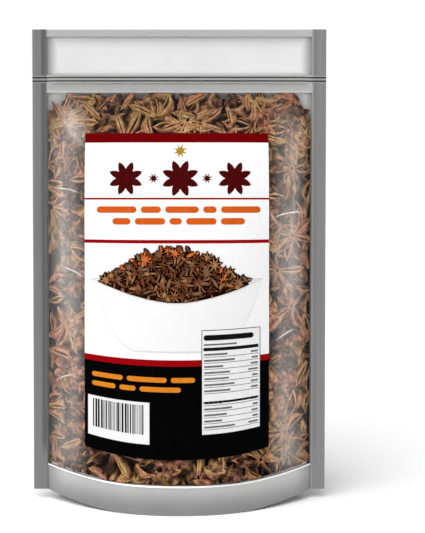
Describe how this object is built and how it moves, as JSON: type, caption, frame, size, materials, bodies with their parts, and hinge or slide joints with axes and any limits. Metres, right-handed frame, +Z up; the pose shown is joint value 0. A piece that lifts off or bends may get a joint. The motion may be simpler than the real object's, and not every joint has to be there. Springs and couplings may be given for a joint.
{
  "type": "stand-up pouch of star anise",
  "caption": "Sealed stand-up pouch with a clear front, a press-to-close zip, a rounded bottom gusset and a front label, filled with dried star anise pods.",
  "frame": {"origin": "on the table, under the middle of the pouch's width and depth", "axes": "+Z up along the pouch, the labelled front faces -Y, +X to the right of someone who looks at the front"},
  "size_m": [0.152, 0.0678, 0.244],
  "materials": {
    "pouch_film": "satin silver-grey welded seals",
    "clear_film": "clear glossy film",
    "zip_plastic": "smooth translucent plastic",
    "label_print": "glossy printed paper",
    "star_anise": "dry, dull, wrinkled pods"
  },
  "bodies": {
    "root": {"pouch": "pouch_film", "zip_track_front": "zip_plastic", "zip_track_back": "zip_plastic", "label": "label_print"}
  },
  "joints": []
}
